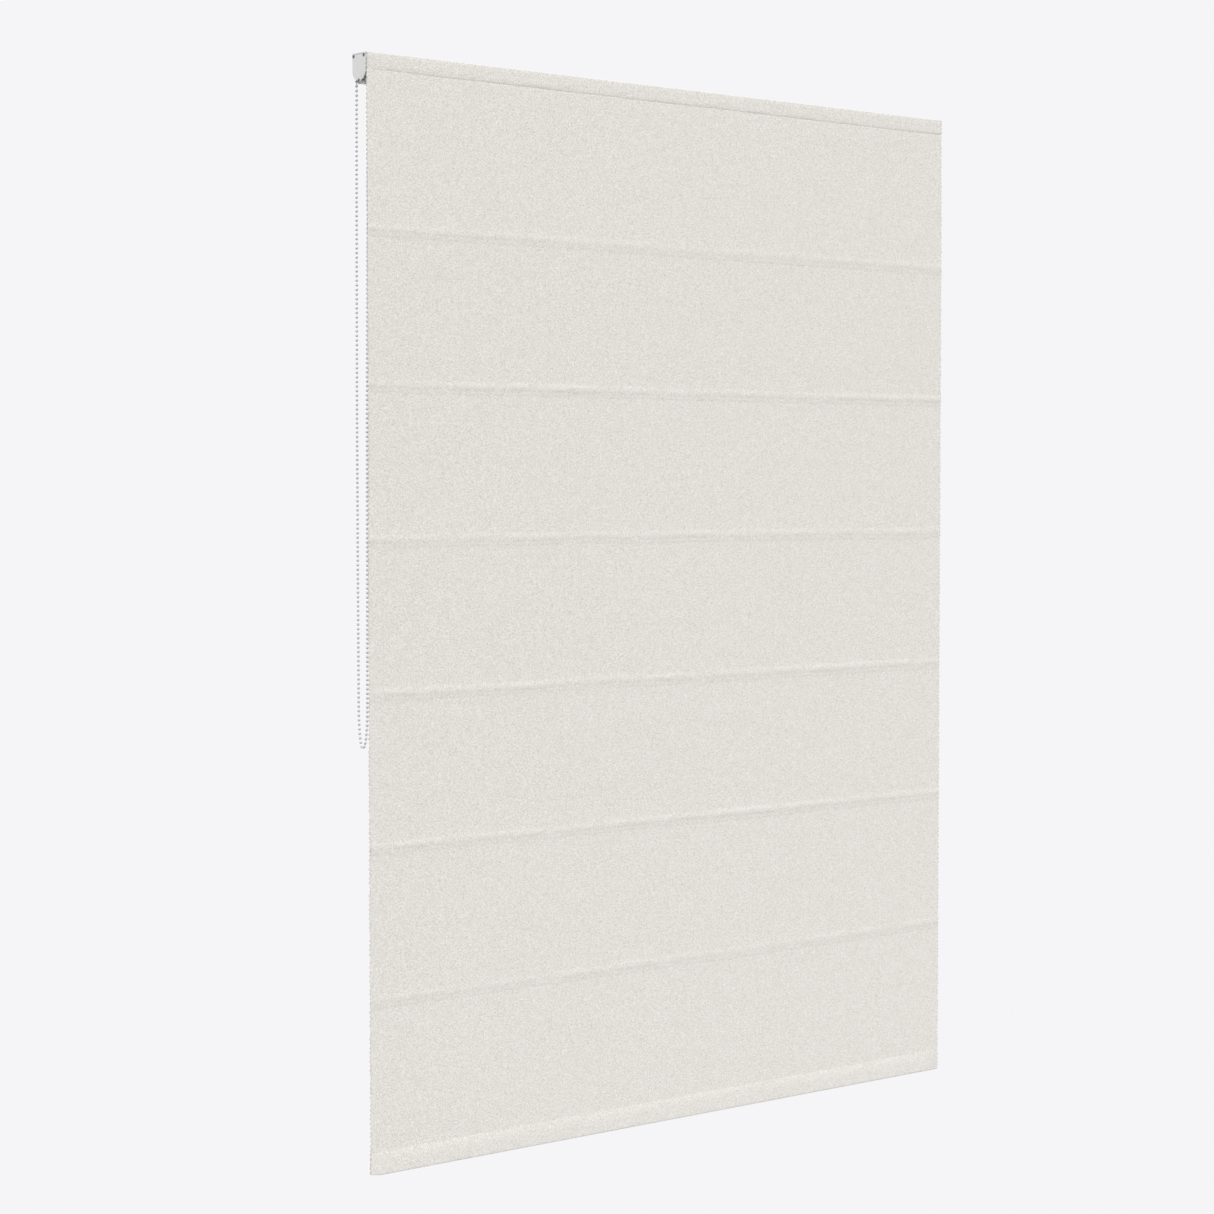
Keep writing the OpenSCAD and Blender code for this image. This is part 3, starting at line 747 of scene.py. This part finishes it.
# %% Hem
HEM = [
    (33, SEAM_OUT), (32, SEAM_OUT), (30.5, 1.33), (29, 1.5), (26, 1.86), (22, 2.2), (17, 2.42),
    (9, 2.48), (4, 2.48), (1.6, 2.44), (0.8, 2.25), (0.3, 1.8), (0.05, 1), (0, -1.3), (0.1, -2.8),
    (0.5, -3.9), (1.5, -4.7), (4, -5), (21, -5), (25, -4.2), (28.5, -2.5), (31, -1.2), (33, -0.75),
    (36, -0.7),
]
HEM_STEPS = 3
HEM_WALL = 0.7
# the ends: length and thickness of the flat part, outside and inside, and the drawn-up corner
FLAT_END = 20
FLAT_T, FLAT_INNER_T = 2, 0.2
CORNER_UP, CORNER_END = 2.5, 15
# the uneven shoulder, where the cloth leaves the seam and goes over the bar
SHOULDER_UP, SHOULDER_REACH = 27, 5
SHOULDER_UNEVEN = 0.2
LONG_HILL, SHORT_HILL = 38, (13, 9)

hem_line = curve(HEM, [HEM_STEPS] * (len(HEM) - 1))
step = np.gradient(hem_line, axis=0)
step /= np.linalg.norm(step, axis=1, keepdims=True)
hem_inner = hem_line + HEM_WALL * np.stack([-step[:, 1], step[:, 0]], -1)


def hem_grid(line, flat_t):
    """The hem along this line; flat_t is its thickness at the ends, where it is sewn flat."""
    up, x = np.meshgrid(line[:, 0], across_x, indexing="ij")
    middle_out = SEAM_OUT - FLAT_T / 2
    pressed = np.clip(line[:, 1:], middle_out - flat_t / 2, middle_out + flat_t / 2)
    full = np.clip((edge_x - np.abs(x)) / FLAT_END, 0, 1)
    rough = drift(x / LONG_HILL, 0 * x, seed=17)
    rough += drift(x / SHORT_HILL[0], up / SHORT_HILL[1], seed=11)
    uneven = 1 + SHOULDER_UNEVEN * rough * bell(up - SHOULDER_UP, SHOULDER_REACH)
    out = pressed + (line[:, 1:] - pressed) * full * uneven
    corner = np.clip(1 - (edge_x + x) / CORNER_END, 0, 1) * np.clip(1 - up / HEM_H, 0, 1)
    return np.stack([x, face_y - out, top_z - drop + up + CORNER_UP * corner], -1)


hem_shape = shell(hem_grid(hem_line, FLAT_T), hem_grid(hem_inner, FLAT_INNER_T))
hem = make_piece("cloth_hem", hem_shape, boucle, "hem_bar", sharp=60)

# %% [markdown]
# The side edges are cut along the yarn, and its loops stand out of the cut by about a millimetre, one
# for each thick weft, so the outline is never a ruled line. One yarn follows each edge and swings out
# and in by that much. It is cut at the two seams as the cloth is, and its three parts ride where the
# cloth's three pieces ride.

# %% Yarn along the edges
YARN_D = 0.9
YARN_STEP = 0.9
LOOP_MM = 5.9
LOOP_OUT = 1.2
LOOP_SWAY = 0.25
HEM_YARN_UP = 1


def edge_yarn(depth, y_at, seed):
    """The yarn along both side edges over these depths; y_at gives the middle of the cloth."""
    sides = []
    for k, side in enumerate((-1, 1)):
        line = np.full_like(depth, k)
        swing = LOOP_OUT * (np.sin(2 * math.pi * depth / LOOP_MM)
                            + drift(depth / (LOOP_MM / 2), line, seed))
        x = side * (across_x[-1] + swing)
        y = y_at + LOOP_SWAY * drift(depth / (LOOP_MM / 2), line + 2, seed)
        path = np.stack([x, y, top_z - depth], -1)
        sides.append(twisted_cord(path, YARN_D, sides=7, strands=2, lay_mm=5))
    return joined(sides)


# the yarn along the edges takes the colour painted a shade darker, as painted shade
edge_depth = np.arange(crease, seam, YARN_STEP)
panel_mid = face_y + CLOTH_T / 2 - stand_out(np.full_like(edge_depth, edge_x), edge_depth)
panel_yarn = make_piece("cloth_panel_edge_yarn", edge_yarn(edge_depth, panel_mid, seed=12),
                        edge_yarn_painted_shade, "rail_unit")
band_depth = np.arange(round_r, crease, YARN_STEP)
band_mid = np.full_like(band_depth, face_y)
band_yarn = make_piece("cloth_band_edge_yarn", edge_yarn(band_depth, band_mid, seed=14),
                       edge_yarn_painted_shade, "rail_unit")
hem_depth = np.arange(seam + YARN_D / 2, drop - CORNER_UP - HEM_YARN_UP, YARN_STEP)
hem_mid = np.full_like(hem_depth, face_y - SEAM_OUT + CLOTH_T / 2)
hem_yarn = make_piece("cloth_hem_edge_yarn", edge_yarn(hem_depth, hem_mid, seed=16),
                      edge_yarn_painted_shade, "hem_bar")

# %% [markdown]
# The panel's length, from the crease to the hem's seam, and the travel of the `lift` joint give the
# share of its length that the panel would keep if it gathered; the panel and its edge yarn get meshes
# of their own.

lift_max = [joint for joint in frame["joints"] if joint["name"] == "lift"][0]["range_m"][1]
panel_l = (seam - crease) * MM
gathered = 1 - lift_max / panel_l
for piece in (panel, panel_yarn):
    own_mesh(piece)
print("panel of", round(panel_l, 3), "m gathers by", lift_max, "m")

# %% [markdown]
# ## Behind the cloth: rod pockets and stitches
# A woven tape is sewn over each rod along both of its edges. The two lists below give one half of
# its outline, outside and inside: distance from the rod's line, and distance from the cloth. The
# flat edges follow the back of the cloth and crumple a little, and the crown clears the rod.

# %% Rod pockets
POCKET_COLUMNS = 120
DRAW_STEPS = 6
CROWN_HALF, CROWN_FADE = 3, 6
# nothing nearer to the cloth than CRUMPLE_FROM crumples, so the flat inside stays on the cloth
CRUMPLE_OUT, CRUMPLE_MM = 0.12, (9, 5)
CRUMPLE_FROM = 0.3
CRUMPLE_SEED = 20
POCKET_OUTER = [
    (13, 0.4), (10.5, 0.42), (8, 0.5), (6.6, 1), (5, 1.9), (3.4, 2.75), (1.8, 3), (0, 3.05)]
POCKET_INNER = [
    (13, 0.02), (10.5, 0.02), (7.4, 0.05), (6, 0.6), (4.6, 1.5), (3.1, 2.3), (1.6, 2.58), (0, 2.62)]

pocket_x = np.linspace(*box_mm("pocket_1"), POCKET_COLUMNS)[:, 0]


def cloth_back(x, fold, across):
    """The back of the cloth under a tape, where it is furthest back while the panel gathers."""
    draws = np.linspace(1, 1 / gathered, DRAW_STEPS)
    return back_y - np.min([stand_out(x, fold + across * draw) for draw in draws], axis=0)


def both_sides(half):
    """A list of half widths and heights, mirrored to run from one side to the other."""
    return [(-w, h) for w, h in half] + [(w, h) for w, h in reversed(half[:-1])]


section = np.array(both_sides(POCKET_OUTER) + both_sides(POCKET_INNER)[::-1])


def pocket(i):
    x, across = np.meshgrid(pocket_x, section[:, 0], indexing="ij")
    depth = folds[i] + across
    flat = np.clip((np.abs(across) - CROWN_HALF) / CROWN_FADE, 0, 1)
    follow = flat * (cloth_back(x, folds[i], across) - back_y)
    crumple = CRUMPLE_OUT * drift(x / CRUMPLE_MM[0], depth / CRUMPLE_MM[1], CRUMPLE_SEED + i)
    crumple = crumple * flat * (section[:, 1] > CRUMPLE_FROM)
    y = back_y + follow + section[:, 1] + crumple
    return tube(np.stack([x, y, top_z - depth], -1))


for i, rod in enumerate(RODS):
    make_piece(f"pocket_tape_{rod}", pocket(i), woven_tape, f"rod_row_{rod}",
               [f"pocket_{rod}"], sharp=50)

# %% [markdown]
# Stitches are small bowed strands of real thread, so that they catch the light one by one: two
# rows on each tape, and one along the hem.

# %% Stitches
STITCH_PITCH = 4
STITCH_L = 3
THREAD_D = 0.5
STITCH_SIDES = 6
# thickness along one stitch, and how its thread bows out of the cloth
STITCH_SWELL = np.array([0.35, 0.9, 1, 0.9, 0.35])
STITCH_BOW, STITCH_FALL = 0.15, 0.9
SEW_IN = 2.2
HEM_SEW_UP, HEM_SEW_BACK = 34.5, 0.75


def stitches(line_x, line_y, depth):
    """A row of stitches behind a line across the cloth, given by its x and y places."""
    at = np.arange(line_x[0] + STITCH_PITCH, line_x[-1] - STITCH_PITCH, STITCH_PITCH)
    along = np.linspace(-0.5, 0.5, len(STITCH_SWELL))[:, None]
    radius = STITCH_SWELL[:, None] * THREAD_D / 2
    turn = np.arange(STITCH_SIDES) * 2 * math.pi / STITCH_SIDES
    x = at[:, None, None] + along * STITCH_L + 0 * turn
    y = np.interp(at, line_x, line_y)[:, None, None] + STITCH_BOW - STITCH_FALL * along ** 2
    y = y + radius * np.cos(turn)
    z = top_z - depth + radius * np.sin(turn) + 0 * x
    return joined([tube(rings) for rings in np.stack([x, y, z], -1)])


for rod, fold in zip(RODS, folds):
    rows = []
    for side in (-1, 1):
        across = side * (POCKET_OUTER[0][0] - SEW_IN)
        tape_y = cloth_back(pocket_x, fold, np.full_like(pocket_x, across)) + POCKET_OUTER[0][1]
        rows.append(stitches(pocket_x, tape_y, fold + across))
    make_piece(f"pocket_stitches_{rod}", joined(rows), sewing_thread, f"rod_row_{rod}")

hem_row = stitches((-edge_x, edge_x), (face_y + HEM_SEW_BACK,) * 2, drop - HEM_SEW_UP)
make_piece("hem_stitches", hem_row, sewing_thread, "hem_bar")

# %% [markdown]
# ## Lift cords
# Three braided cords hang from the spools in the rail, run down through the rings behind the pockets
# and end in the anchors on the bottom bar. A few turns are already on each spool. The turns and the
# hanging part stay with the rail.

# %% Lift cords
CORD_D = 1.4
CORD_TURNS = 4
CORD_RING_STEP = 1.6
TURN_GAP = 0.05
TURN_RINGS = 40
BRAID = {"sides": 8, "strands": 4, "lay_mm": 9}

spool_y, spool_z = middle("spool_mid")[1:]
for side in ("left", "mid", "right"):
    low_corner, high_corner = box_mm(f"cord_{side}")
    cord_x = middle(f"spool_{side}")[0]
    wind_r = (high_corner[2] - spool_z) - CORD_D / 2
    cord_y = spool_y - wind_r
    rise = spool_z - low_corner[2]
    down = np.linspace(0, rise, int(rise / CORD_RING_STEP))
    path = np.stack([np.full_like(down, cord_x), np.full_like(down, cord_y), spool_z - down], -1)
    cord = make_piece(f"lift_cord_{side}", twisted_cord(path, CORD_D, **BRAID), braided_polyester,
                      "rail_unit", [f"cord_{side}"])
    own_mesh(cord)
    turned = np.linspace(-CORD_TURNS * 2 * math.pi, 0, CORD_TURNS * TURN_RINGS)
    coil = np.stack([cord_x + turned / (2 * math.pi) * (CORD_D + TURN_GAP),
                     spool_y - wind_r * np.cos(turned), spool_z - wind_r * np.sin(turned)], -1)
    make_piece(f"cord_turns_{side}", twisted_cord(coil, CORD_D, **BRAID), braided_polyester,
               "rail_unit")

# %% [markdown]
# ## Hook and loop tapes
# The cloth hangs on the rail by a pair of tapes: hooks set into the rail's front, loops sewn
# inside the head band. Only their edges can be seen, from above and from the ends, so each is a
# strip with a pile that is uneven by a fraction of a millimetre.

# %% Tapes
TAPE_COLUMNS = 260
TAPE_ROWS = 12
PILE_OUT, PILE_MM = 0.12, (1.7, 1.3)

for node, seed in (("hook_tape", 30), ("loop_tape", 31)):
    low_corner, high_corner = box_mm(node)
    x, z = np.meshgrid(np.linspace(low_corner[0], high_corner[0], TAPE_COLUMNS),
                       np.linspace(high_corner[2], low_corner[2], TAPE_ROWS))
    pile = PILE_OUT * np.abs(drift(x / PILE_MM[0], z / PILE_MM[1], seed))
    front = np.stack([x, low_corner[1] + pile, z], -1)
    back = np.stack([x, high_corner[1] - pile, z], -1)
    make_piece(f"{node}_strip", shell(front, back), pile_tape, "rail_unit", [node])

# %% [markdown]
# ## Hard pieces
# The rail, brackets, gear, rods and rings keep the shapes of the model. Each gets its finish. On
# all but the round wire of the spring a weld joins points that lie on each other, and a bevel
# breaks the sharp edges by one to three tenths of a millimetre: no moulded or pressed edge is
# perfectly sharp, and the thin line of light along it tells the eye so. Both are modifiers, which
# leave the model's own mesh as it is.

# %% Finishes of the hard pieces
HARD = [
    (anodised, 0.25, ["head_rail", "bottom_bar"]),
    (zinc_steel, 0.3, ["bracket_left", "bracket_right"]),
    (grey_abs, 0.3, ["drive_core"]),
    (pale_abs, 0.25, ["control_cover", "control_housing", "end_cap"]),
    (black_steel, 0.12, ["cover_screws"]),
    (bead_acetal, 0.15, ["chain_wheel"]),
    (filled_nylon, 0.25, ["cradle_left", "cradle_mid", "cradle_right"]),
    (white_acetal, 0.2, ["spool_left", "spool_mid", "spool_right", "idle_bush", "bar_caps",
                         "cord_anchors"] + [f"rings_{rod}" for rod in RODS]),
    (drawn_aluminium, 0.1, ["drive_shaft"]),
    (spring_steel, 0, ["wrap_spring"]),
    (glass_fibre, 0.15, [f"rod_{rod}" for rod in RODS]),
]
EDGE_ANGLE = 40
EDGE_SEGMENTS = 2
WELD_MM = 0.002

for finish, bevel_mm, names in HARD:
    for name in names:
        node = nodes[name]
        node.data.materials.clear()
        node.data.materials.append(finish)
        if bevel_mm:
            weld = node.modifiers.new("weld", "WELD")
            weld.merge_threshold = WELD_MM * MM
            edge = node.modifiers.new("soft_edge", "BEVEL")
            edge.width = bevel_mm * MM
            edge.segments = EDGE_SEGMENTS
            edge.limit_method = "ANGLE"
            edge.angle_limit = math.radians(EDGE_ANGLE)
            edge.harden_normals = True
print("finished", sum(len(names) for _, _, names in HARD), "hard pieces")

# %% [markdown]
# ## Floor, light and background
# The blind hangs in front of an even, nearly white background, with soft light from above and in
# front. The world gives the even part of the light; what the camera and shiny things see of it is
# the background's colour.

# %% World
BACKGROUND = "#f5f5f7"
AMBIENT = 0.5


def in_view(tree):
    """1 for rays from the camera, also by way of gloss or glass, and 0 for light between things."""
    ray = add(tree, "ShaderNodeLightPath")
    mirrored = add(tree, "ShaderNodeMath",
                   {0: ray.outputs["Is Glossy Ray"], 1: ray.outputs["Is Transmission Ray"]},
                   operation="MAXIMUM")
    seen = add(tree, "ShaderNodeMath", {0: ray.outputs["Is Camera Ray"], 1: mirrored.outputs[0]},
               operation="MAXIMUM")
    return seen.outputs[0]


world = bpy.data.worlds.new("studio")
world.use_nodes = True
bpy.context.scene.world = world
tree = world.node_tree
wall = add(tree, "ShaderNodeBackground", inputs={"Color": linear(BACKGROUND), "Strength": 1})
light = tree.nodes["Background"]
light.inputs["Color"].default_value = (1, 1, 1, 1)
light.inputs["Strength"].default_value = AMBIENT
both = add(tree, "ShaderNodeMixShader",
           {0: in_view(tree), 1: light.outputs[0], 2: wall.outputs[0]})
tree.links.new(both.outputs[0], tree.nodes["World Output"].inputs["Surface"])
print("background", BACKGROUND, "with even light of", AMBIENT)

# %% [markdown]
# A soft light from above the camera shows the folds, and a weaker one lights the back.

# %% Lamps
def lamp(name, place, aim, spread, strength):
    """A far soft light of that spread in degrees, which shines from place towards aim."""
    data = bpy.data.lights.new(name, "SUN")
    data.angle = math.radians(spread)
    data.energy = strength
    made = bpy.data.objects.new(name, data)
    made.location = place
    made.rotation_euler = (Vector(aim) - Vector(place)).to_track_quat("-Z", "Y").to_euler()
    bpy.context.scene.collection.objects.link(made)


centre = (0, 0, (top_z - drop / 2) * MM)
lamp("key_lamp", place=(-2.4, -2.4, 3), aim=centre, spread=30, strength=3.2)
lamp("back_lamp", place=(1.2, 3.2, 1.6), aim=centre, spread=40, strength=1.6)
print("lit by", len(bpy.data.lights), "lamps")

# %% [markdown]
# The floor is far below and fades out towards its edge. It looks nearly white, but it sends back
# no more light than the room does, so the cloth is as bright below as above.

# %% Floor
FLOOR_Z = -2.1
FLOOR_R = 1.9
FLOOR_SIDES = 96
FADE_FROM = 0.5
# the paint as it is seen, and as it sends light back to the cloth
PAINT_SEEN = "#cbcbcd"
PAINT_AS_LIGHT = "#a4a4a6"

spin = np.arange(FLOOR_SIDES) * 2 * math.pi / FLOOR_SIDES
circle = np.stack([np.cos(spin), np.sin(spin), 0 * spin], -1) * FLOOR_R
floor_mesh = bpy.data.meshes.new("floor")
floor_mesh.from_pydata((circle + np.array((0, 0, FLOOR_Z))).tolist(), [], [list(range(FLOOR_SIDES))])
floor = bpy.data.objects.new("floor", floor_mesh)
bpy.context.scene.collection.objects.link(floor)

# matt paint that fades away towards its edge, so the floor runs into the background
paint, tree, shader, place = start_material("matt_white_floor_paint", Roughness=0.9)
coat = add(tree, "ShaderNodeMix", {0: in_view(tree)},
           {6: linear(PAINT_AS_LIGHT), 7: linear(PAINT_SEEN)}, data_type="RGBA")
tree.links.new(coat.outputs[2], shader.inputs["Base Color"])
flat = add(tree, "ShaderNodeVectorMath", {0: place}, {1: (1, 1, 0)}, operation="MULTIPLY")
away = add(tree, "ShaderNodeVectorMath", {0: flat.outputs["Vector"]}, operation="LENGTH")
fade = add(tree, "ShaderNodeMapRange", {"Value": away.outputs["Value"]},
           {"From Min": FADE_FROM * FLOOR_R, "From Max": FLOOR_R, "To Min": 1, "To Max": 0},
           interpolation_type="SMOOTHSTEP")
tree.links.new(fade.outputs["Result"], shader.inputs["Alpha"])
floor_mesh.materials.append(paint)
print("floor at", FLOOR_Z, "m")

# %% [markdown]
# ## Last settings
# The Standard view shows colours as they are written.

# %% Finish
bpy.context.scene.view_settings.view_transform = "Standard"
